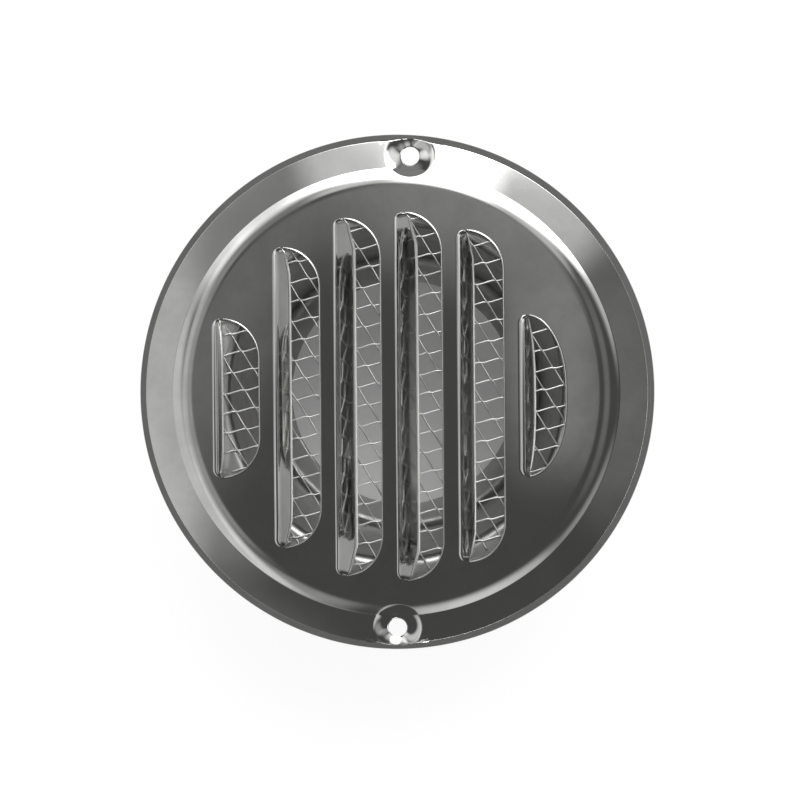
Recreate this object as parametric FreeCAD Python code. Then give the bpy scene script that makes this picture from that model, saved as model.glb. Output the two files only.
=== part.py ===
import FreeCAD
import Part

import math
import os

# Round louvred vent cover: a pressed face plate, a wire mesh and a flanged duct collar.
# Millimetres. Z points out of the wall, the wall plane is z = 0 and the duct axis is the Z axis.
# The louvres run along Y, hang from their -X edges and open towards +X.

# Sheet and wire
sheet = 0.5                 # thickness of the pressed stainless sheet
wire = 0.5                  # thickness of a mesh wire
flat_length = 2.4           # a turned bend is made of flats that are at most this long
corner_turn = 18.0          # a rounded corner of a slot or blade has flats that turn at most so many degrees

# Duct collar, a drawn cup with its bottom pierced
collar_radius = 48.5        # outside of the collar that enters the duct
collar_depth = 72.0         # wall plane to the collar's far end
collar_mouth_bend = 2.5     # inside bend from the flange into the collar
collar_end_bend = 3.0       # inside bend from the collar into its end lip
end_lip_radius = 39.3       # pierced opening in the far end
flange_overlap = 4.8        # how far the flange reaches past the mesh

# Wire mesh, clamped between the face and the collar's flange
mesh_overlap = 4.7          # how far the mesh reaches past the collar's inside
mesh_pitch = 9.8            # wire spacing
mesh_bite = 0.05            # how deep the crossing wires press into each other
weft_angle = 13.0           # degrees from +X
warp_angle = -59.0          # degrees from +X

# Face plate
flange_clearance = 1.0      # collar flange to the start of the shoulder
lip_height = 3.0            # wall plane to the outer corner of the brim
lip_slope = 50.0            # degrees that the turned-down lip falls outwards
lip_bend = 1.0              # outside bend from the brim into the lip
brim_width = 8.0            # foot of the shoulder to the outer corner of the brim
brim_slope = 5.0            # degrees that the brim falls outwards
shoulder_height = 0.7       # foot of the shoulder to the top of the face
shoulder_slope = 12.0       # degrees from the wall plane at the foot
shoulder_bend = 26.0        # large bend that rounds the shoulder off into the flat face
foot_bend = 3.0             # bend from the shoulder's foot into the brim

# Screw holes, each in a pressed dimple
screw_hole_radius = 2.7
screw_inset = 6.65          # hole centre to the outside of the lip
screw_line_shift = 2.5      # the pair of holes stands this far to +X of the axis
screw_line_turn = 2.0       # degrees that the pair is turned from Y
dimple_radius = 6.6
dimple_slope = 23.0         # degrees that a dimple rises from its hole
seat_height = 1.8           # wall plane to the top edge of a hole

# Louvres
louvre_pitch = 17.66
louvre_width = 13.5         # slot width, of which a blade takes its length and the rest is punched out
louvre_shift_x = -2.04      # centre of the louvre pattern
louvre_shift_y = -1.3
louvre_margin = 5.2         # louvre circle to the start of the shoulder
root_corner = 2.2           # rounded corner at a slot's root
free_corner = 11.3          # length along Y of the rounded corners at a blade's free edge
last_free_corner = 20.2     # the same on the last blade, whose free edge is nearly an oval
blade_angles = (62.0, 50.0, 50.0, 50.0, 51.0, 52.0)    # degrees out of the face, from -X to +X
blade_lengths = (6.4, 8.5, 10.3, 10.1, 7.1, 6.3)       # sheet from the root to the free edge
blade_bends = (2.0, 2.5, 1.5, 1.5, 2.5, 3.0)           # inside bend at the root
end_trims = (-1.2, 0.1, 0.2, 0.3, 1.0, 12.6)           # how far each end stops inside the louvre circle

# Levels and radii that follow from the sizes above
foot_height = lip_height + brim_width * math.tan(math.radians(brim_slope))
face_top = foot_height + shoulder_height
face_back = face_top - sheet
mesh_back = face_back - 2 * wire + mesh_bite
collar_inside = collar_radius - sheet
mesh_radius = collar_inside + mesh_overlap
flange_radius = mesh_radius + flange_overlap
face_flat_radius = flange_radius + flange_clearance
crest_radius = face_flat_radius + shoulder_bend * math.tan(math.radians(shoulder_slope) / 2)
foot_radius = crest_radius + shoulder_height / math.tan(math.radians(shoulder_slope))
brim_radius = foot_radius + brim_width
rim_radius = brim_radius + lip_height / math.tan(math.radians(lip_slope))
screw_radius = rim_radius - screw_inset
louvre_circle = face_flat_radius - louvre_margin

Z_AXIS = FreeCAD.Vector(0, 0, 1)
ORIGIN = FreeCAD.Vector(0, 0, 0)


def bent_profile(corners, inset):
    """Points of the surface that lies inset to the right of a path of (radius, height, bend) corners."""
    points = [FreeCAD.Vector(radius, 0, height) for radius, height, bend in corners]
    runs = [(after - before).normalize() for before, after in zip(points, points[1:])]
    sides = [FreeCAD.Vector(run.z, 0, -run.x) for run in runs]
    profile = [points[0] + sides[0] * inset]
    for place in range(1, len(points) - 1):
        run, next_run = runs[place - 1], runs[place]
        side, next_side = sides[place - 1], sides[place]
        corner = points[place] + (side + next_side) * (inset / (1 + side.dot(next_side)))
        bend = corners[place][2]
        if bend == 0:
            profile.append(corner)
            continue
        turn = run.getAngle(next_run)
        centre_side = -1 if next_side.dot(run) > 0 else 1
        arc_radius = bend - centre_side * inset
        centre = corner - run * (arc_radius * math.tan(turn / 2)) + side * (centre_side * arc_radius)
        flats = math.ceil(bend * turn / flat_length)
        for step in range(flats + 1):
            share = turn * step / flats
            spoke = (side * math.sin(turn - share) + next_side * math.sin(share)) * (1 / math.sin(turn))
            profile.append(centre - spoke * (centre_side * arc_radius))
    profile.append(points[-1] + sides[-1] * inset)
    return profile


def turned(profile):
    """Solid of revolution about Z from the points of a closed profile."""
    face = Part.Face(Part.makePolygon(profile + profile[:1]))
    return face.revolve(ORIGIN, Z_AXIS, 360)


def pressed_form(inset):
    """Solid under the plate's front surface, or under its back surface with inset = sheet."""
    front = [
        (0, face_top, 0),
        (crest_radius, face_top, shoulder_bend),
        (foot_radius, foot_height, foot_bend),
        (brim_radius, lip_height, lip_bend),
        (rim_radius, 0, 0),
    ]
    form = turned(bent_profile(front, inset) + [ORIGIN])
    for centre in screw_centres():
        form = form.cut(dimple(inset).translated(centre))
    return form


def screw_centres():
    """Centres of the two screw holes in the wall plane."""
    turn = math.radians(screw_line_turn)
    along = FreeCAD.Vector(math.sin(turn), math.cos(turn), 0)
    middle = FreeCAD.Vector(screw_line_shift, 0, 0)
    return [middle + along * screw_radius, middle - along * screw_radius]


def dimple(inset):
    """Cone on the Z axis that presses a screw's seat into the brim and the foot of the shoulder."""
    rise = math.tan(math.radians(dimple_slope))
    apex = seat_height - screw_hole_radius * rise
    ceiling = face_top + sheet
    cone = [(0, apex, 0), (dimple_radius, apex + dimple_radius * rise, 0), (dimple_radius, ceiling, 0)]
    profile = bent_profile(cone, inset)
    profile[0] = FreeCAD.Vector(0, 0, apex - inset / math.cos(math.radians(dimple_slope)))
    return turned(profile + [FreeCAD.Vector(0, 0, ceiling)])


def quarter_round(centre, first, last):
    """Points on a quarter ellipse in the XY plane from centre + first to centre + last."""
    flats = math.ceil(90 / corner_turn)
    turns = [math.pi / 2 * step / flats for step in range(flats + 1)]
    return [centre + first * math.cos(turn) + last * math.sin(turn) for turn in turns]


def blade_outline(root_x, root_y, tip_x, rise, half):
    """Face in the XY plane with its root on x = 0: small rounded root corners, large free corners."""
    upper = []
    if root_x > 0:
        root_centre = FreeCAD.Vector(root_x, half - root_y, 0)
        upper += quarter_round(root_centre, FreeCAD.Vector(-root_x, 0, 0), FreeCAD.Vector(0, root_y, 0))[:-1]
    free_centre = FreeCAD.Vector(root_x, half - rise, 0)
    upper += quarter_round(free_centre, FreeCAD.Vector(0, rise, 0), FreeCAD.Vector(tip_x - root_x, 0, 0))
    lower = [FreeCAD.Vector(point.x, -point.y, 0) for point in reversed(upper)]
    return Part.Face(Part.makePolygon(upper + lower + upper[:1]))


def louvre_slot(half, rise):
    """Cutter for a slot, with its root on x = 0 and the face's front surface on z = 0."""
    outline = blade_outline(root_corner, root_corner, louvre_width, rise, half)
    outline.translate(FreeCAD.Vector(0, 0, -2 * sheet))
    return outline.extrude(FreeCAD.Vector(0, 0, 3 * sheet))


def rectangle_across_x(low, high):
    """Face across X between two opposite corners."""
    corners = [low, FreeCAD.Vector(low.x, high.y, low.z), high, FreeCAD.Vector(low.x, low.y, high.z), low]
    return Part.Face(Part.makePolygon(corners))


def louvre_blade(half, rise, angle, length, bend_radius):
    """Blade bent out of the face about its root, placed as its slot is."""
    turn = math.radians(angle)
    bend_length = (bend_radius + sheet / 2) * turn
    bend_axis = FreeCAD.Vector(0, 0, bend_radius)
    low, high = FreeCAD.Vector(0, -half, -sheet), FreeCAD.Vector(0, half, 0)
    root = rectangle_across_x(low, high)
    bend = root.revolve(bend_axis, FreeCAD.Vector(0, -1, 0), angle)
    corner_reach = bend_radius * math.sin(turn)
    trim = blade_outline(corner_reach, root_corner, louvre_width, half - root_corner, half)
    trim.translate(FreeCAD.Vector(0, 0, -2 * sheet))
    bend = bend.common(trim.extrude(FreeCAD.Vector(0, 0, 2 * sheet + louvre_width)))
    flat = blade_outline(0, 0, length - bend_length, rise, half)
    flat.translate(FreeCAD.Vector(0, 0, -sheet))
    flat = flat.extrude(FreeCAD.Vector(0, 0, sheet))
    flat.rotate(bend_axis, FreeCAD.Vector(0, -1, 0), angle)
    return bend.fuse(flat)


def face_plate():
    """Pressed plate with its shoulder, lip, dimpled screw holes and louvres."""
    plate = pressed_form(0).cut(pressed_form(sheet))
    for centre in screw_centres():
        plate = plate.cut(Part.makeCylinder(screw_hole_radius, face_top, centre, Z_AXIS))
    last = len(blade_angles) - 1
    for index, angle in enumerate(blade_angles):
        root_from_middle = (index - last / 2) * louvre_pitch - louvre_width / 2
        apex = root_from_middle + root_corner
        if abs(apex) >= louvre_circle:
            continue
        half = math.sqrt(louvre_circle ** 2 - apex ** 2) - end_trims[index]
        rise = last_free_corner if index == last else free_corner
        if half <= rise:
            continue
        place = FreeCAD.Vector(louvre_shift_x + root_from_middle, louvre_shift_y, face_top)
        plate = plate.cut(louvre_slot(half, rise).translated(place))
        blade = louvre_blade(half, rise, angle, blade_lengths[index], blade_bends[index])
        plate = plate.fuse(blade.translated(place))
    return plate.removeSplitter()


def wires(angle, low):
    """Parallel straight wires across the mesh disc, side by side along the angle's normal."""
    count = int((mesh_radius - mesh_pitch / 2) / mesh_pitch)
    rows = []
    for row in range(-count, count + 1):
        side = abs(row) * mesh_pitch + wire / 2
        half = math.sqrt(mesh_radius ** 2 - side ** 2)
        bar = Part.makeBox(2 * half, wire, wire, FreeCAD.Vector(-half, row * mesh_pitch - wire / 2, low))
        bar.rotate(ORIGIN, Z_AXIS, angle)
        rows.append(bar)
    return rows


def wire_mesh():
    """Disc of crossing wires behind the face: weft wires in front, warp wires behind."""
    bars = wires(weft_angle, face_back - wire) + wires(warp_angle, mesh_back)
    return bars[0].multiFuse(bars[1:])


def duct_collar():
    """Collar with a flange that clamps the mesh to the face, and an in-turned lip at its far end."""
    lip_top = sheet - collar_depth
    inside = [
        (end_lip_radius, lip_top, 0),
        (collar_inside, lip_top, collar_end_bend),
        (collar_inside, mesh_back, collar_mouth_bend),
        (flange_radius, mesh_back, 0),
    ]
    return turned(bent_profile(inside, 0) + bent_profile(inside, sheet)[::-1])


os.makedirs("parts", exist_ok=True)
for name, make in (("face_plate", face_plate), ("wire_mesh", wire_mesh), ("duct_collar", duct_collar)):
    shape = make()
    print(name, "solids", len(shape.Solids), "valid", shape.isValid(), "volume", round(shape.Volume, 1))
    shape.exportStep(os.path.join("parts", name + ".step"))
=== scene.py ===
import logging
import math
from dataclasses import dataclass
from enum import Enum
from typing import Any, Sequence

import bmesh
import bpy
from mathutils import Matrix, Vector


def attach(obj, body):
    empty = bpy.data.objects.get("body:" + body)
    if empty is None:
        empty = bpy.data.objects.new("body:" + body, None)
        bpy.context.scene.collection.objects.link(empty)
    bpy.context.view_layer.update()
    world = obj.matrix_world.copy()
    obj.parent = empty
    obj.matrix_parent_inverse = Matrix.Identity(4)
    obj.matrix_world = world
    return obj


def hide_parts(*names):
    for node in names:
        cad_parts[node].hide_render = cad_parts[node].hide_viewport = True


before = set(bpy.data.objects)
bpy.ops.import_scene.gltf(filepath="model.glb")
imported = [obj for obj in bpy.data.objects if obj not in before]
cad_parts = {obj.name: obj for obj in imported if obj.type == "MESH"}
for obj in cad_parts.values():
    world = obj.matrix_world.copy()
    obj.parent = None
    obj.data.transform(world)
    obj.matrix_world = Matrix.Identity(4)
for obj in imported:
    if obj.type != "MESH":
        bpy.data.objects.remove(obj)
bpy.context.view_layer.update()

Mesh = bmesh.types.BMesh
Vert = bmesh.types.BMVert
Edge = bmesh.types.BMEdge
Tree = bpy.types.NodeTree
Socket = bpy.types.NodeSocket
Section = Sequence[tuple[float, float]]

LOG = logging.getLogger("round_vent_cover")
# One millimetre in metres, the scene's unit
MM = 0.001
# Vertices nearer than this many millimetres are merged
MERGE = 0.001
# Radii that differ by less than this many millimetres are the same
NEAR = 0.01
# Fewest segments in a rounded bend
BEND_STEPS = 4
# Place of a piece's second finish in its list of materials
SECOND_FINISH = 1
# Numbers of a Mix node's two colour inputs and of its colour output
MIX_FIRST, MIX_SECOND, MIX_RESULT = 6, 7, 2


class Slot(Enum):
    """Material slots of the record, by name. Nothing in this script reads them."""

    FACE = "polished_face"
    MESH = "mesh_wire"
    COLLAR = "collar_sheet"


def linear(hex_colour: str) -> tuple[float, float, float, float]:
    """Turn an sRGB hex colour into a linear one.

    Args:
        hex_colour: six hex digits, as "9a9a98".

    Returns:
        Red, green, blue and alpha for a node socket.
    """
    channels = [int(hex_colour[place:place + 2], 16) / 255 for place in (0, 2, 4)]
    return (*(c / 12.92 if c <= 0.04045 else ((c + 0.055) / 1.055) ** 2.4 for c in channels), 1.0)


def add_node(tree: Tree, kind: str, inputs: dict[Any, Any], **settings: Any) -> bpy.types.Node:
    """Add one node, set its options, and set or link its inputs.

    Args:
        tree: the node tree that gets the node.
        kind: the node's type name.
        inputs: a value or an output socket for each named or numbered input.
        settings: the node's own options.

    Returns:
        The new node.
    """
    node = tree.nodes.new(kind)
    for option, value in settings.items():
        setattr(node, option, value)
    for socket, value in inputs.items():
        if isinstance(value, Socket):
            tree.links.new(value, node.inputs[socket])
        else:
            node.inputs[socket].default_value = value
    return node


def add_math(tree: Tree, operation: str, first: Any, second: Any) -> Socket:
    """Add a node that joins two values.

    Args:
        tree: the node tree that gets the node.
        operation: the sum that it does.
        first: its first value or output socket.
        second: its second value or output socket.

    Returns:
        The result's socket.
    """
    return add_node(tree, "ShaderNodeMath", {0: first, 1: second}, operation=operation).outputs[0]


def add_noise(tree: Tree, place: Socket, size: float, detail: float, roughness: float = 0.5) -> Socket:
    """Add a cloudy noise pattern.

    Args:
        tree: the node tree that gets the pattern.
        place: the coordinates that it follows.
        size: the length of one cloud in millimetres.
        detail: how many finer layers it has.
        roughness: how strong each finer layer is beside the one before.

    Returns:
        The socket of the pattern's value, from 0 to 1.
    """
    noise = add_node(tree, "ShaderNodeTexNoise", {
        "Vector": place, "Scale": 1 / (size * MM), "Detail": detail, "Roughness": roughness})
    return noise.outputs["Fac"]


def new_material(name: str) -> tuple[bpy.types.Material, Tree]:
    """Make an empty node material.

    Args:
        name: the material's name.

    Returns:
        The material and its cleared node tree.
    """
    material = bpy.data.materials.new(name)
    material.use_nodes = True
    material.node_tree.nodes.clear()
    return material, material.node_tree


@dataclass(frozen=True)
class SteelFinish:
    """Bare stainless steel: a metal whose look is all reflection, broken by waves, grain and scuffs.

    Lengths are in millimetres. The clouds are a share of the waves in size. Where their value passes from
    haze_start to haze_end, the haze is added to the roughness. Grazing is how bright low angles stay.
    """

    name: str
    bright: str
    dull: str
    roughness: float
    haze: float
    wave_size: float
    wave_height: float
    grain_size: float
    grain_height: float
    grazing: float = 1.0
    wave_detail: float = 1.0
    grain_detail: float = 2.0
    cloud_share: float = 0.6
    cloud_detail: float = 5.0
    cloud_roughness: float = 0.6
    haze_start: float = 0.45
    haze_end: float = 0.75

    def material(self) -> bpy.types.Material:
        """Build the finish as a node material.

        Returns:
            A metal with waves and grain in its normal and hazy patches in its roughness.
        """
        material, tree = new_material(self.name)
        place = add_node(tree, "ShaderNodeTexCoord", {}).outputs["Object"]
        waves = add_noise(tree, place, self.wave_size, self.wave_detail)
        grain = add_noise(tree, place, self.grain_size, self.grain_detail)
        clouds = add_noise(tree, place, self.cloud_share * self.wave_size, self.cloud_detail,
                           self.cloud_roughness)
        haze = add_node(tree, "ShaderNodeMapRange", {
            "Value": clouds, "From Min": self.haze_start, "From Max": self.haze_end,
            "To Min": self.roughness, "To Max": self.roughness + self.haze})
        wavy = add_node(tree, "ShaderNodeBump", {"Height": waves, "Distance": self.wave_height * MM})
        rough = add_node(tree, "ShaderNodeBump", {
            "Height": grain, "Distance": self.grain_height * MM, "Normal": wavy.outputs["Normal"]})
        smears = add_node(tree, "ShaderNodeMix", {
            0: clouds, MIX_FIRST: linear(self.bright), MIX_SECOND: linear(self.dull)}, data_type="RGBA")
        shader = add_node(tree, "ShaderNodeBsdfPrincipled", {
            "Base Color": smears.outputs[MIX_RESULT], "Metallic": 1.0, "Roughness": haze.outputs["Result"],
            "Specular Tint": (self.grazing, self.grazing, self.grazing, 1.0),
            "Normal": rough.outputs["Normal"]})
        add_node(tree, "ShaderNodeOutputMaterial", {"Surface": shader.outputs["BSDF"]})
        return material


# Stainless sheet, rolled bright and pressed: a grey mirror with soft dents from the press and hazy marks.
POLISHED_SHEET = SteelFinish(
    "stainless sheet, bright rolled and pressed", bright="f0f0ee", dull="c2c2c0", roughness=0.07, haze=0.05,
    wave_size=22.0, wave_height=0.008, grain_size=1.2, grain_height=0.0002)
# Stainless sheet where the punch sheared it: a torn matt edge that looks like a pale line from all round.
SHEARED_EDGE = SteelFinish(
    "stainless sheet, sheared edge", bright="dcdcda", dull="ccccca", roughness=0.42, haze=0.1,
    wave_size=3.0, wave_height=0.01, grain_size=0.4, grain_height=0.02)
# Stainless weft wire, woven: small satin cylinders with a long pale highlight. Its colour is raised almost to
# white, a painted highlight for the light that its direction catches.
LIT_WEFT_WIRE = SteelFinish(
    "stainless wire, brightened as painted highlight", bright="f8f8f6", dull="f0f0ee", roughness=0.42, haze=0.1,
    wave_size=6.0, wave_height=0.004, grain_size=0.5, grain_height=0.002)
# Stainless warp wire: the same wire, with a darker grey colour that is painted shade for the dimmer light its
# direction catches, so that it hardly shines.
SHADED_WARP_WIRE = SteelFinish(
    "stainless wire, darkened as painted shade", bright="cacac8", dull="bebebc", roughness=0.45, haze=0.1,
    wave_size=6.0, wave_height=0.004, grain_size=0.5, grain_height=0.002)
# Stainless sheet, deep drawn into a cup: dull and dark along the wall, with faint draw marks.
DRAWN_SHEET = SteelFinish(
    "stainless sheet, deep drawn", bright="c6c6c4", dull="aaaaa8", roughness=0.36, haze=0.1,
    wave_size=14.0, wave_height=0.03, grain_size=0.9, grain_height=0.004, grazing=0.7)


def rounded_profile(corners: Sequence[tuple[float, float, float]], chord: float) -> list[tuple[float, float]]:
    """Round the corners of a half section.

    Args:
        corners: radius, height and bend radius of each corner, in millimetres.
        chord: about how long one segment of a bend is.

    Returns:
        Radius and height of each point along the section.
    """
    points = [Vector((radius, height)) for radius, height, _ in corners]
    path = [points[0]]
    for before, corner, after, (_, _, bend) in zip(points, points[1:], points[2:], corners[1:]):
        run, next_run = (corner - before).normalized(), (after - corner).normalized()
        turn = run.angle(next_run)
        side = math.copysign(1.0, run.x * next_run.y - run.y * next_run.x)
        start = corner - run * (bend * math.tan(turn / 2))
        spoke = Vector((run.y, -run.x)) * (side * bend)
        count = max(BEND_STEPS, math.ceil(bend * turn / chord))
        for number in range(count + 1):
            path.append(start - spoke + Matrix.Rotation(side * turn * number / count, 2) @ spoke)
    path.append(points[-1])
    return [(point.x, point.y) for point in path]


def neighbours(verts: Sequence[Vert], closed: bool) -> list[tuple[Vert, Vert]]:
    """Pair each vertex of a chain with the next one.

    Args:
        verts: the chain's vertices in order.
        closed: whether the last one joins the first.

    Returns:
        The pairs in order.
    """
    return list(zip(verts, verts[1:])) + ([(verts[-1], verts[0])] if closed else [])


def spun(bm: Mesh, profile: Section, closed: bool, steps: int) -> None:
    """Spin a half section about the duct axis.

    Args:
        bm: the mesh that gets the turned surface.
        profile: radius and height of the section's points, in millimetres.
        closed: whether the section's last point joins its first.
        steps: how many segments the full turn has.
    """
    verts = [bm.verts.new((radius * MM, 0.0, height * MM)) for radius, height in profile]
    edges = [bm.edges.new(pair) for pair in neighbours(verts, closed)]
    bmesh.ops.spin(bm, geom=verts + edges, cent=(0, 0, 0), axis=(0, 0, 1), angle=2 * math.pi, steps=steps,
                   use_merge=True)


def extruded(bm: Mesh, verts: Sequence[Vert], closed: bool) -> list[Vert]:
    """Extrude a chain of vertices along its edges.

    Args:
        bm: the mesh that holds the chain.
        verts: the chain's vertices in order.
        closed: whether the chain is a loop.

    Returns:
        The new vertices, in the same order and in the same places.
    """
    edges = [bm.edges.get(pair) for pair in neighbours(verts, closed)]
    made = bmesh.ops.extrude_edge_only(bm, edges=edges)["geom"]
    fresh = {item for item in made if isinstance(item, Vert)}
    ends = [[edge.other_vert(vert) for edge in vert.link_edges] for vert in verts]
    return [next(end for end in near if end in fresh) for near in ends]


def ordered_loop(edges: set[Edge]) -> list[Vert]:
    """Follow a closed chain of edges.

    Args:
        edges: the chain's edges, in any order.

    Returns:
        The chain's vertices in order.
    """
    first = min(edges, key=lambda edge: edge.index)
    loop = [first.verts[0], first.verts[1]]
    while True:
        step = next(edge for edge in loop[-1].link_edges if edge in edges and loop[-2] not in edge.verts)
        vert = step.other_vert(loop[-1])
        if vert is loop[0]:
            return loop
        loop.append(vert)


def finished_piece(bm: Mesh, name: str, node: str,
                   finishes: Sequence[SteelFinish]) -> bpy.types.Object:
    """Turn a mesh into a piece that stands for its CAD node.

    Args:
        bm: the mesh, which is freed.
        name: the piece's name.
        node: the CAD node that the piece replaces.
        finishes: the finishes for the piece's material places.

    Returns:
        The piece's object.
    """
    mesh = bpy.data.meshes.new(name)
    bm.to_mesh(mesh)
    bm.free()
    mesh.polygons.foreach_set("use_smooth", [True] * len(mesh.polygons))
    for finish in finishes:
        mesh.materials.append(finish.material())
    piece = bpy.data.objects.new(name, mesh)
    bpy.context.scene.collection.objects.link(piece)
    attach(piece, "root")
    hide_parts(node)
    return piece


@dataclass
class ScrewSeat:
    """Pierced hole in a pressed dimple, with a rolled-in edge. Sizes are in millimetres."""

    x: float
    y: float
    hole_radius: float = 2.7
    depth: float = 1.7
    reach: float = 7.3
    easing: float = 1.4
    roll_width: float = 0.35
    roll_depth: float = 0.12

    def height(self, distance: float, plain: float, brim: float) -> float:
        """Find the height of the pressed surface.

        Args:
            distance: distance from the hole's centre.
            plain: height of the surface there before it is pressed.
            brim: height there of the brim, carried on past its turn into the lip.

        Returns:
            The lower of the plain surface and the dimple, which sinks from an easy border to the hole's edge.
        """
        share = min(1.0, (distance - self.hole_radius) / (self.reach - self.hole_radius))
        roll = max(0.0, 1 - (distance - self.hole_radius) / self.roll_width)
        pressed = max(plain, brim) - self.depth * max(0.0, 1 - share) ** self.easing
        return min(plain, pressed) - self.roll_depth * roll * roll


@dataclass
class Louvre:
    """One blade lanced on three sides and bent out of the face about its root.

    Lengths are in millimetres and the angle is in degrees. Each ring of the slot's edge has an offset in burr
    widths and a lift in burr heights, from the outside in. The first ones are still plain sheet.
    """

    root_x: float
    middle_y: float
    half: float
    rise: float
    angle: float
    length: float
    bend: float
    width: float = 13.5
    root_corner: float = 2.2
    sheet: float = 0.5
    burr_width: float = 0.3
    burr_height: float = 0.1
    burr_rings: tuple[tuple[float, float], ...] = (
        (2.0, 0.0), (1.0, 0.0), (0.55, 0.8), (0.3, 1.0), (0.0, 0.3))
    plain_rings: int = 2
    burr_taper: int = 5
    corner_steps: int = 8
    free_steps: int = 16
    straight_steps: int = 14
    rows: int = 14
    row_easing: float = 1.8

    def root_outline(self) -> list[tuple[float, float]]:
        """Trace the bend's start.

        Returns:
            Its points from the lower end to the upper end, both ends included.
        """
        corner, straight = self.root_corner, self.half - self.root_corner
        turns = [math.pi / 2 * step / self.corner_steps for step in range(self.corner_steps + 1)]
        upper = [(corner - corner * math.cos(turn), straight + corner * math.sin(turn)) for turn in turns]
        steps = range(1, self.straight_steps)
        middle = [(0.0, straight * (2 * step / self.straight_steps - 1)) for step in steps]
        return [(x, -y) for x, y in reversed(upper)] + middle + upper

    def cut_outline(self) -> list[tuple[float, float]]:
        """Trace the sheared edge of the slot.

        Returns:
            Its points from the upper end to the lower end, both ends left out.
        """
        reach, straight = self.width - self.root_corner, self.half - self.rise
        turns = [math.pi / 2 * step / self.free_steps for step in range(1, self.free_steps + 1)]
        upper = [(self.root_corner + reach * math.sin(turn), straight + self.rise * math.cos(turn))
                 for turn in turns]
        steps = range(1, self.straight_steps)
        middle = [(self.width, straight * (1 - 2 * step / self.straight_steps)) for step in steps]
        return upper + middle + [(x, -y) for x, y in reversed(upper)]

    def flap_width(self, x: float, y: float) -> float:
        """Length of sheet between the bend's start and the sheared edge at one height along the blade."""
        past = max(0.0, abs(y) - (self.half - self.rise)) / self.rise
        return self.root_corner + (self.length - self.root_corner) * math.sqrt(max(0.0, 1 - past * past)) - x

    def bent(self, length: float) -> tuple[float, float]:
        """Follow the sheet round the bend and up the blade.

        Args:
            length: length of sheet from the bend's start.

        Returns:
            Offset across and out of the face after that length.
        """
        turn = math.radians(self.angle)
        neutral = self.bend + self.sheet / 2
        here = min(turn, length / neutral)
        straight = max(0.0, length - neutral * turn)
        across = self.bend * math.sin(here) + straight * math.cos(turn)
        out = self.bend * (1 - math.cos(here)) + straight * math.sin(turn)
        return across, out

    def build_edge(self, bm: Mesh, face_top: float) -> tuple[list[Vert], list[Edge]]:
        """Build the slot's edge, with a burr along the side that was sheared.

        Args:
            bm: the face's mesh.
            face_top: height of the face's front surface.

        Returns:
            The vertices of the inner ring, the bend's start first, and the edges of the outer ring.
        """
        root, cut = self.root_outline(), self.cut_outline()
        outline = [Vector(point) for point in root + cut]
        count = len(outline)
        outward = []
        for place in range(count):
            along = (outline[(place + 1) % count] - outline[place - 1]).normalized()
            outward.append(Vector((-along.y, along.x)))
        from_end = [min(place, len(cut) - 1 - place) + 1 for place in range(len(cut))]
        burred = [0.0] * len(root) + [min(1.0, place / self.burr_taper) for place in from_end]
        loop = bmesh.ops.create_circle(bm, cap_ends=False, segments=count, radius=1.0)["verts"]
        border = [bm.edges.get(pair) for pair in neighbours(loop, True)]
        for ring, (offset, lift) in enumerate(self.burr_rings):
            if ring > 0:
                loop = extruded(bm, loop, True)
            for vert, point, side, share in zip(loop, outline, outward, burred):
                flat = point + side * (offset * self.burr_width)
                vert.co = Vector((self.root_x + flat.x, self.middle_y + flat.y,
                                  face_top + lift * share * self.burr_height)) * MM
            if ring >= self.plain_rings:
                for vert, next_vert in neighbours(loop[len(root):], False):
                    for face in vert.link_faces:
                        if next_vert in face.verts:
                            face.material_index = SECOND_FINISH
        return loop, border

    def build(self, bm: Mesh, face_top: float) -> list[Edge]:
        """Build the slot's edge and the blade.

        Args:
            bm: the face's mesh.
            face_top: height of the face's front surface.

        Returns:
            The outer edges of the slot's border, to which the flat face is filled.
        """
        loop, border = self.build_edge(bm, face_top)
        root = self.root_outline()
        chain = loop[:len(root)]
        for row in range(1, self.rows + 1):
            chain = extruded(bm, chain, False)
            for vert, (x, y) in zip(chain, root):
                across, out = self.bent(self.flap_width(x, y) * (row / self.rows) ** self.row_easing)
                vert.co = Vector((self.root_x + x + across, self.middle_y + y, face_top + out)) * MM
        return border


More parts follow.
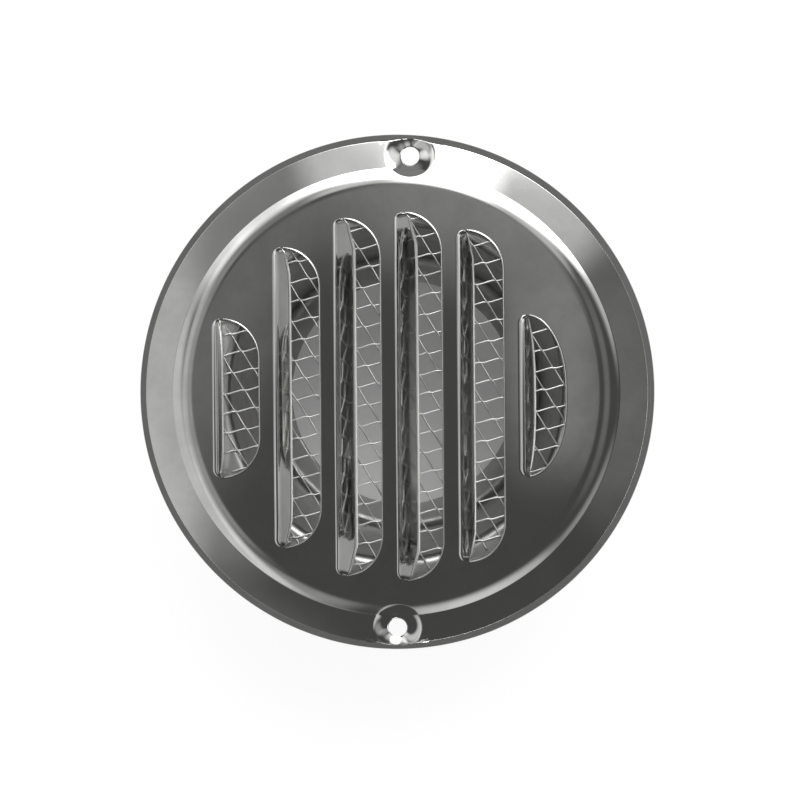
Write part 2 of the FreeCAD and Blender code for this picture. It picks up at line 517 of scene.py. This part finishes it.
@dataclass
class FacePlate:
    """Pressed face with a low shoulder, a sloping brim, a turned-down lip, two dimples and six blades.

    Lengths are in millimetres and slopes and angles are in degrees. Rows of the turned surface are no longer
    than row_length, with one more at row_hold from each bend so that flat parts keep flat reflections. The
    patch round a dimple is a square of the brim whose rings shrink to the hole.
    """

    sheet: float = 0.5
    border_radius: float = 58.2
    flat_radius: float = 58.5
    shoulder_height: float = 0.7
    shoulder_slope: float = 12.0
    shoulder_bend: float = 26.0
    foot_bend: float = 3.0
    brim_width: float = 8.0
    brim_slope: float = 5.0
    lip_height: float = 3.0
    lip_slope: float = 50.0
    lip_bend: float = 0.15
    lip_foot: float = 0.55
    foot_roll: float = 1.2
    chord: float = 0.35
    turn_steps: int = 600
    row_length: float = 0.75
    row_hold: float = 0.06
    patch_half: float = 8.6
    patch_inner: float = 61.0
    patch_outer: float = 73.9
    patch_rings: int = 36
    ring_easing: float = 1.5
    corner_snap: float = 0.3
    edge_round: float = 0.07
    edge_steps: int = 2
    edge_angle: float = 50.0
    seats: tuple[ScrewSeat, ...] = (ScrewSeat(4.887, 68.351), ScrewSeat(0.113, -68.351))
    pitch: float = 17.66
    louvre_circle: float = 53.3
    pattern_x: float = -2.04
    pattern_y: float = -1.3
    blade_angles: tuple[float, ...] = (62.0, 50.0, 50.0, 50.0, 51.0, 52.0)
    blade_lengths: tuple[float, ...] = (6.4, 8.5, 10.3, 10.1, 7.1, 6.3)
    blade_bends: tuple[float, ...] = (2.0, 2.5, 1.5, 1.5, 2.5, 3.0)
    end_trims: tuple[float, ...] = (-1.2, 0.1, 0.2, 0.3, 1.0, 12.6)
    free_rise: float = 11.3
    last_rise: float = 20.2

    @property
    def face_top(self) -> float:
        """Height of the flat face's front surface."""
        brim_rise = self.brim_width * math.tan(math.radians(self.brim_slope))
        return self.lip_height + brim_rise + self.shoulder_height

    @property
    def foot_radius(self) -> float:
        """Radius at which the shoulder meets the brim."""
        slope = math.radians(self.shoulder_slope)
        crest_radius = self.flat_radius + self.shoulder_bend * math.tan(slope / 2)
        return crest_radius + self.shoulder_height / math.tan(slope)

    @property
    def brim_radius(self) -> float:
        """Radius at which the brim turns down into the lip."""
        return self.foot_radius + self.brim_width

    @property
    def rim_radius(self) -> float:
        """Outside radius of the lip's lower edge."""
        return self.brim_radius + self.lip_height / math.tan(math.radians(self.lip_slope))

    def profile(self) -> list[tuple[float, float]]:
        """Trace the front half section.

        Returns:
            Radius and height of its points, from the edge of the flat face to the lip's lower edge.
        """
        crest_radius = self.foot_radius - self.shoulder_height / math.tan(math.radians(self.shoulder_slope))
        path = rounded_profile([
            (self.border_radius, self.face_top, 0.0),
            (crest_radius, self.face_top, self.shoulder_bend),
            (self.foot_radius, self.face_top - self.shoulder_height, self.foot_bend),
            (self.brim_radius, self.lip_height, self.lip_bend),
            (self.rim_radius, self.lip_foot, self.foot_roll),
            (self.rim_radius, 0.0, 0.0),
        ], self.chord)
        rows = [path[0]]
        for start, end in zip(path, path[1:]):
            length = math.dist(start, end)
            parts = math.ceil(length / self.row_length)
            shares = [part / parts for part in range(1, parts + 1)]
            if parts > 1:
                shares = [self.row_hold / length, *shares[:-1], 1 - self.row_hold / length, 1.0]
            rows += [tuple(Vector(start).lerp(Vector(end), share)) for share in shares]
        return rows

    def section_height(self, profile: Section, radius: float) -> float:
        """Find the height of the front surface without the dimples.

        Args:
            profile: the front half section.
            radius: distance from the duct axis.

        Returns:
            The height at that radius, or the flat face's height inside the section.
        """
        for (low, high), (next_low, next_high) in zip(profile, profile[1:]):
            if low <= radius <= next_low and next_low > low:
                return high + (next_high - high) * (radius - low) / (next_low - low)
        return profile[0][1]

    def patch_faces(self, bm: Mesh, middle: Vector) -> list[bmesh.types.BMFace]:
        """Find the faces of the square patch round a hole.

        Args:
            bm: the turned surface.
            middle: the hole's centre.

        Returns:
            The faces whose centres lie in the patch.
        """
        patch = []
        for face in bm.faces:
            place = face.calc_center_median().xy / MM
            beside = middle.angle(place) * middle.length < self.patch_half
            if beside and self.patch_inner < place.length < self.patch_outer:
                patch.append(face)
        return patch

    def spoke(self, seat: ScrewSeat, outer: Vector) -> list[Vector]:
        """Divide one line from the patch's border to the hole's edge.

        Args:
            seat: the hole and its dimple.
            outer: the line's start on the patch's border.

        Returns:
            One place for each ring, from the outside in. The one nearest the brim's outer corner lies on it.
        """
        middle = Vector((seat.x, seat.y))
        inner = middle + (outer - middle).normalized() * seat.hole_radius
        rings = range(1, self.patch_rings + 1)
        places = [outer.lerp(inner, 1 - (1 - ring / self.patch_rings) ** self.ring_easing) for ring in rings]
        nearest = min(places, key=lambda place: abs(place.length - self.brim_radius))
        if abs(nearest.length - self.brim_radius) < self.corner_snap:
            nearest *= self.brim_radius / nearest.length
        return places

    def press_seats(self, bm: Mesh, profile: Section) -> None:
        """Replace the brim round each hole by rings that run from a square patch to the hole's edge.

        Args:
            bm: the turned surface.
            profile: its half section.
        """
        brim_fall = math.tan(math.radians(self.brim_slope))
        for seat in self.seats:
            middle = Vector((seat.x, seat.y))
            patch = self.patch_faces(bm, middle)
            inside = set(patch)
            bm.edges.index_update()
            loop = ordered_loop({edge for face in patch for edge in face.edges
                                 if not inside.issuperset(edge.link_faces)})
            bmesh.ops.delete(bm, geom=patch, context="FACES")
            spokes = [self.spoke(seat, vert.co.xy / MM) for vert in loop]
            for places in zip(*spokes):
                loop = extruded(bm, loop, True)
                for vert, place in zip(loop, places):
                    plain = self.section_height(profile, place.length)
                    brim = self.lip_height + (self.brim_radius - place.length) * brim_fall
                    vert.co = Vector((*place, seat.height((place - middle).length, plain, brim))) * MM

    def louvres(self) -> list[Louvre]:
        """Lay out the louvres, whose roots end on one circle apart from their trims.

        Returns:
            The six louvres from -X to +X.
        """
        blades = []
        last = len(self.blade_angles) - 1
        shapes = zip(self.blade_angles, self.blade_lengths, self.blade_bends, self.end_trims)
        for place, (angle, length, bend, trim) in enumerate(shapes):
            root = (place - last / 2) * self.pitch - Louvre.width / 2
            half = math.sqrt(self.louvre_circle ** 2 - (root + Louvre.root_corner) ** 2) - trim
            rise = self.last_rise if place == last else self.free_rise
            blades.append(Louvre(self.pattern_x + root, self.pattern_y, half, rise, angle, length, bend))
        return blades

    def thicken(self, piece: bpy.types.Object) -> None:
        """Give the sheet its thickness and break its sharp edges.

        Args:
            piece: the face plate's object.
        """
        wall = piece.modifiers.new("sheet thickness", "SOLIDIFY")
        wall.thickness = self.sheet * MM
        wall.offset = -1.0
        wall.use_even_offset = True
        wall.material_offset_rim = SECOND_FINISH
        edge = piece.modifiers.new("broken edges", "BEVEL")
        edge.width = self.edge_round * MM
        edge.segments = self.edge_steps
        edge.limit_method = "ANGLE"
        edge.angle_limit = math.radians(self.edge_angle)

    def build(self) -> bpy.types.Object:
        """Build and dress the face plate.

        Returns:
            The face plate's object.
        """
        bm = bmesh.new()
        profile = self.profile()
        spun(bm, profile, False, self.turn_steps)
        self.press_seats(bm, profile)
        border = [edge for edge in bm.edges
                  if all(abs(vert.co.xy.length / MM - self.border_radius) < NEAR for vert in edge.verts)]
        for louvre in self.louvres():
            border += louvre.build(bm, self.face_top)
        bmesh.ops.triangle_fill(bm, edges=border, use_beauty=True, use_dissolve=False, normal=(0, 0, 1))
        bmesh.ops.remove_doubles(bm, verts=bm.verts, dist=MERGE * MM)
        bmesh.ops.recalc_face_normals(bm, faces=bm.faces)
        if sum(face.normal.z * face.calc_area() for face in bm.faces) < 0:
            bmesh.ops.reverse_faces(bm, faces=bm.faces)
        piece = finished_piece(bm, "louvred_face_plate", "face_plate",
                               (POLISHED_SHEET, SHEARED_EDGE))
        self.thicken(piece)
        return piece


@dataclass(frozen=True)
class WireFamily:
    """Parallel wires of a weave: direction in degrees from +X, lengths in millimetres.

    The first wire lies at the offset from the axis, along the wires' normal. At the crossings they stand out
    and in by the lift in turn, and between crossings they step aside by the kink.
    """

    angle: float
    offset: float
    lift: float
    kink: float


@dataclass
class WovenMesh:
    """Disc of woven crimped wire behind the louvres, in millimetres."""

    radius: float = 52.6
    middle_height: float = 3.425
    wire: float = 0.47
    pitch: float = 5.58
    weft: WireFamily = WireFamily(10.75, -2.02, 0.1, 0.6)
    warp: WireFamily = WireFamily(-57.25, -2.74, -0.235, -0.3)
    kink_ramp: float = 7.0
    sides: int = 8
    stations_per_cell: int = 8
    fewest_stations: int = 4

    def add_wire(self, bm: Mesh, family: WireFamily, offset: float, crossing: float, cell: float,
                 lift: float) -> None:
        """Add one crimped wire.

        Args:
            bm: the mesh that gets the wire.
            family: the wires that it belongs to.
            offset: its distance from the axis along its normal.
            crossing: place of a crossing along the wire.
            cell: distance between crossings.
            lift: how far the wire stands out at that crossing, or in if negative.
        """
        half = math.sqrt(self.radius ** 2 - offset ** 2)
        stations = max(self.fewest_stations, round(2 * half / cell * self.stations_per_cell))
        made = bmesh.ops.create_grid(bm, x_segments=stations, y_segments=self.sides, size=1.0)["verts"]
        turn = Matrix.Rotation(math.radians(family.angle), 3, "Z")
        for vert in made:
            along, around = vert.co.x * half, math.pi * vert.co.y
            share = (along - crossing) / cell
            cycle = share - math.floor(share)
            ramp = min(1.0, self.kink_ramp * cycle, self.kink_ramp * (1 - cycle))
            aside = family.kink * (cycle - 0.5) * ramp
            out = lift * math.cos(math.pi * share)
            place = Vector((along, offset + aside + self.wire / 2 * math.cos(around),
                            self.middle_height + out + self.wire / 2 * math.sin(around)))
            vert.co = turn @ place * MM
        bmesh.ops.remove_doubles(bm, verts=made, dist=MERGE * MM)

    def add_family(self, bm: Mesh, family: WireFamily, other: WireFamily) -> None:
        """Add all wires of one direction.

        Args:
            bm: the mesh that gets the wires.
            family: the wires to add.
            other: the wires that they cross.
        """
        between = math.radians(other.angle - family.angle)
        cell = self.pitch / abs(math.sin(between))
        reach = math.ceil(self.radius / self.pitch)
        for row in range(-reach, reach + 1):
            offset = family.offset + row * self.pitch
            if abs(offset) > self.radius - self.wire:
                continue
            crossing = (offset * math.cos(between) - other.offset) / math.sin(between)
            self.add_wire(bm, family, offset, crossing, cell, family.lift * (-1) ** row)

    def build(self) -> bpy.types.Object:
        """Build and dress the woven mesh.

        Returns:
            The mesh disc's object.
        """
        bm = bmesh.new()
        self.add_family(bm, self.weft, self.warp)
        weft_faces = len(bm.faces)
        self.add_family(bm, self.warp, self.weft)
        bm.faces.ensure_lookup_table()
        # The warp wires take the darker copy of the wire's finish, painted shade, and the weft wires keep the
        # brighter copy, painted highlight.
        for face in bm.faces[weft_faces:]:
            face.material_index = SECOND_FINISH
        bmesh.ops.holes_fill(bm, edges=[edge for edge in bm.edges if edge.is_boundary], sides=0)
        bmesh.ops.recalc_face_normals(bm, faces=bm.faces)
        return finished_piece(bm, "woven_wire_mesh", "wire_mesh", (LIT_WEFT_WIRE, SHADED_WARP_WIRE))


@dataclass
class DuctCollar:
    """Deep-drawn collar with a flange at its mouth and an in-turned lip at its far end, in millimetres."""

    sheet: float = 0.5
    outside: float = 48.5
    mouth: float = 2.95
    far_end: float = -72.0
    lip_radius: float = 39.3
    flange_radius: float = 57.5
    mouth_bend: float = 2.5
    end_bend: float = 3.0
    edge_round: float = 0.12
    chord: float = 0.5
    turn_steps: int = 256

    def build(self) -> bpy.types.Object:
        """Build and dress the collar.

        Returns:
            The collar's object.
        """
        inside = self.outside - self.sheet
        floor = self.far_end + self.sheet
        under = self.mouth - self.sheet
        start = (self.lip_radius, self.far_end + self.sheet / 2, 0.0)
        path = rounded_profile([
            start,
            (self.lip_radius, floor, self.edge_round),
            (inside, floor, self.end_bend),
            (inside, self.mouth, self.mouth_bend),
            (self.flange_radius, self.mouth, self.edge_round),
            (self.flange_radius, under, self.edge_round),
            (self.outside, under, self.mouth_bend - self.sheet),
            (self.outside, self.far_end, self.end_bend + self.sheet),
            (self.lip_radius, self.far_end, self.edge_round),
            start,
        ], self.chord)
        bm = bmesh.new()
        spun(bm, path[:-1], True, self.turn_steps)
        bmesh.ops.remove_doubles(bm, verts=bm.verts, dist=MERGE * MM)
        bmesh.ops.recalc_face_normals(bm, faces=bm.faces)
        return finished_piece(bm, "drawn_duct_collar", "duct_collar", (DRAWN_SHEET,))


@dataclass(frozen=True)
class Softbox:
    """Large soft lamp that faces the object and fades out towards its sides.

    Direction and spread are in degrees and the distance is in metres. The margin is how many times wider than
    its spread the lamp is, to make room for the fading sides. A place with the shares x and y across the lamp
    is fully lit where x times 1 - x reaches fade, and y likewise.
    """

    name: str
    azimuth: float
    zenith: float
    across: float
    along: float
    radiance: float
    distance: float = 4.0
    margin: float = 1.415
    fade: float = 0.25

    def add_fade(self, tree: Tree) -> None:
        """Build the glow that fades out towards the lamp's sides.

        Args:
            tree: the lamp's node tree.
        """
        tree.nodes.clear()
        place = add_node(tree, "ShaderNodeNewGeometry", {}).outputs["Parametric"]
        sides = add_node(tree, "ShaderNodeSeparateXYZ", {0: place}).outputs
        fades = []
        for side in ("X", "Y"):
            hump = add_math(tree, "MULTIPLY", add_math(tree, "SUBTRACT", 1.0, sides[side]), sides[side])
            fades.append(add_node(tree, "ShaderNodeMapRange", {"Value": hump, "From Max": self.fade},
                                  interpolation_type="SMOOTHSTEP").outputs["Result"])
        glow = add_node(tree, "ShaderNodeEmission", {"Strength": add_math(tree, "MULTIPLY", *fades)})
        add_node(tree, "ShaderNodeOutputLight", {"Surface": glow.outputs[0]})

    def build(self) -> bpy.types.Object:
        """Add the lamp.

        Returns:
            The lamp's object.
        """
        lamp = bpy.data.lights.new(self.name, "AREA")
        lamp.shape = "RECTANGLE"
        lamp.size, lamp.size_y = (2 * self.margin * self.distance * math.tan(math.radians(spread) / 2)
                                  for spread in (self.across, self.along))
        lamp.energy = self.radiance * math.pi * lamp.size * lamp.size_y
        lamp.use_nodes = True
        self.add_fade(lamp.node_tree)
        turn, tilt = math.radians(self.azimuth), math.radians(self.zenith)
        away = Vector((math.cos(turn) * math.sin(tilt), math.sin(turn) * math.sin(tilt), math.cos(tilt)))
        side = Vector((-math.sin(turn), math.cos(turn), 0.0))
        holder = bpy.data.objects.new(self.name, lamp)
        axes = Matrix((side, away.cross(side), away)).transposed().to_4x4()
        holder.matrix_world = Matrix.Translation(away * self.distance) @ axes
        bpy.context.scene.collection.objects.link(holder)
        return holder


@dataclass
class Studio:
    """Pale floor on a table, soft lamps, dim room and camera.

    Lengths are in millimetres, apart from the camera's focal length and half picture, which are in pixels.
    Rays that show the paper see a share of it as plain white: a small one under the collar, where the duct
    keeps its shade, and a large one outside.
    """

    floor_height: float = -72.0
    floor_radius: float = 230.0
    floor_colour: str = "f2f2f2"
    floor_white: float = 1.12
    shade_inside: float = 44.0
    shade_width: float = 4.0
    white_inside: float = 0.1
    white_outside: float = 0.8
    table_radius: float = 2500.0
    table_drop: float = 0.5
    table_colour: str = "7f7f7f"
    disc_steps: int = 128
    room: str = "4b4b4b"
    camera_place: tuple[float, float, float] = (13.0, 0.0, 340.0)
    camera_aim: tuple[float, float, float] = (1.33, -2.28, 1.0)
    camera_roll: float = 0.5
    camera_clip: float = 10.0
    focal_pixels: float = 1167.0
    half_picture: float = 400.0
    lamps: tuple[Softbox, ...] = (
        Softbox("key softbox", 77.5, 38.0, 38.0, 25.0, 7.0),
        Softbox("key softbox, near middle", 82.0, 22.0, 9.0, 7.0, 2.2),
        Softbox("key softbox, near right", 54.0, 21.5, 10.6, 7.0, 0.55),
        Softbox("key softbox, near left", 106.0, 22.5, 8.6, 6.0, 0.6),
        Softbox("key softbox, left wing", 131.0, 34.5, 22.0, 15.0, 1.05),
        Softbox("key softbox, near left wing", 131.0, 22.5, 12.0, 8.0, 0.16),
        Softbox("left softbox, first strip", 160.0, 12.0, 17.0, 6.0, 0.1),
        Softbox("left softbox, second strip", 184.0, 18.0, 26.0, 6.0, 0.3),
        Softbox("left softbox, third strip", 182.0, 24.0, 42.0, 6.0, 0.48),
        Softbox("left softbox, upper panel", 196.0, 34.5, 60.0, 15.0, 0.6),
        Softbox("left softbox, lower wing", 240.0, 32.0, 14.0, 13.0, 0.26),
        Softbox("left softbox, middle panel", 158.0, 55.0, 28.0, 22.0, 1.0),
        Softbox("left softbox, low panel", 180.0, 82.0, 60.0, 26.0, 0.45),
        Softbox("right softbox", 36.0, 46.5, 34.0, 29.0, 1.0),
        Softbox("right softbox, lower wing", 348.0, 46.0, 16.0, 20.0, 0.3),
        Softbox("right softbox, near strip", 2.0, 19.0, 22.0, 7.0, 0.1),
        Softbox("right softbox, low panel", 348.0, 76.0, 44.0, 20.0, 2.6),
        Softbox("low softbox", 288.0, 37.0, 21.0, 19.0, 0.7),
        Softbox("low softbox, right wing", 326.0, 39.0, 20.0, 16.0, 0.3),
        Softbox("low softbox, edge strip", 281.0, 85.0, 24.0, 9.0, 6.0),
        Softbox("far wall bounce", 88.0, 68.0, 60.0, 24.0, 0.2),
        Softbox("ceiling bounce, right", 5.0, 6.2, 9.0, 5.0, 0.19),
        Softbox("ceiling bounce, far", 74.0, 12.0, 17.0, 11.0, 0.19),
    )

    def add_disc(self, name: str, radius: float, height: float,
                 material: bpy.types.Material) -> bpy.types.Object:
        """Add a flat round sheet.

        Args:
            name: the sheet's name.
            radius: its radius.
            height: its height.
            material: its material.

        Returns:
            The sheet's object.
        """
        bm = bmesh.new()
        bmesh.ops.create_circle(bm, cap_ends=True, segments=self.disc_steps, radius=radius * MM)
        bmesh.ops.translate(bm, vec=(0, 0, height * MM), verts=bm.verts)
        mesh = bpy.data.meshes.new(name)
        bm.to_mesh(mesh)
        bm.free()
        mesh.materials.append(material)
        disc = bpy.data.objects.new(name, mesh)
        bpy.context.scene.collection.objects.link(disc)
        return disc

    def paper(self) -> bpy.types.Material:
        """Build the floor's paper, which reads white and keeps a little of the object's shadow.

        Returns:
            A matt paper that glows where it is seen or mirrored, and lights nothing else.
        """
        material, tree = new_material("matt white paper")
        place = add_node(tree, "ShaderNodeTexCoord", {}).outputs["Object"]
        flat = add_node(tree, "ShaderNodeVectorMath", {0: place, 1: (1.0, 1.0, 0.0)}, operation="MULTIPLY")
        away = add_node(tree, "ShaderNodeVectorMath", {0: flat.outputs[0]}, operation="LENGTH")
        open_air = add_node(tree, "ShaderNodeMapRange", {
            "Value": away.outputs["Value"], "From Min": self.shade_inside * MM,
            "From Max": (self.shade_inside + self.shade_width) * MM,
            "To Min": self.white_inside, "To Max": self.white_outside})
        rays = add_node(tree, "ShaderNodeLightPath", {}).outputs
        seen = add_math(tree, "MAXIMUM", rays["Is Camera Ray"], rays["Is Glossy Ray"])
        seen = add_math(tree, "MAXIMUM", seen, rays["Is Transmission Ray"])
        share = add_math(tree, "MULTIPLY", seen, open_air.outputs["Result"])
        paper = add_node(tree, "ShaderNodeBsdfDiffuse", {"Color": linear(self.floor_colour)})
        white = add_node(tree, "ShaderNodeEmission", {"Strength": self.floor_white})
        both = add_node(tree, "ShaderNodeMixShader", {0: share, 1: paper.outputs[0], 2: white.outputs[0]})
        add_node(tree, "ShaderNodeOutputMaterial", {"Surface": both.outputs[0]})
        return material

    def build_floor(self) -> bpy.types.Object:
        """Add the paper floor.

        Returns:
            The floor's object.
        """
        floor = self.add_disc("paper floor", self.floor_radius, self.floor_height, self.paper())
        return floor

    def build_table(self) -> bpy.types.Object:
        """Add the plain grey table that the paper lies on.

        Returns:
            The table's object.
        """
        material, tree = new_material("matt grey laminate")
        board = add_node(tree, "ShaderNodeBsdfDiffuse", {"Color": linear(self.table_colour)})
        add_node(tree, "ShaderNodeOutputMaterial", {"Surface": board.outputs[0]})
        table = self.add_disc("table", self.table_radius, self.floor_height - self.table_drop, material)
        return table

    def build_camera(self) -> bpy.types.Object:
        """Add the camera above the face, a little to one side.

        Returns:
            The camera's object.
        """
        data = bpy.data.cameras.new("camera")
        data.angle = 2 * math.atan(self.half_picture / self.focal_pixels)
        data.clip_start = self.camera_clip * MM
        camera = bpy.data.objects.new("camera", data)
        place, aim = Vector(self.camera_place), Vector(self.camera_aim)
        back = (place - aim).normalized()
        roll = math.radians(self.camera_roll)
        right = Vector((math.sin(roll), math.cos(roll), 0.0)).cross(back).normalized()
        axes = Matrix((right, back.cross(right), back)).transposed().to_4x4()
        camera.matrix_world = Matrix.Translation(place * MM) @ axes
        bpy.context.scene.collection.objects.link(camera)
        bpy.context.scene.camera = camera
        return camera

    def build(self) -> None:
        """Set up the floor, the table, the lamps, the room and the camera."""
        scene = bpy.context.scene
        scene.view_settings.view_transform = "Standard"
        world = bpy.data.worlds.new("dim room")
        world.use_nodes = True
        world.node_tree.nodes["Background"].inputs["Color"].default_value = linear(self.room)
        scene.world = world
        self.build_floor()
        self.build_table()
        for lamp in self.lamps:
            lamp.build()
        self.build_camera()
        LOG.info("studio: %d lamps", len(self.lamps))


def main() -> None:
    """Build the pieces and the studio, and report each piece."""
    logging.basicConfig(level=logging.INFO)
    for part in (FacePlate(), WovenMesh(), DuctCollar()):
        piece = part.build()
        LOG.info("%s: %d faces before modifiers", piece.name, len(piece.data.polygons))
    Studio().build()


if __name__ == "__main__":
    main()
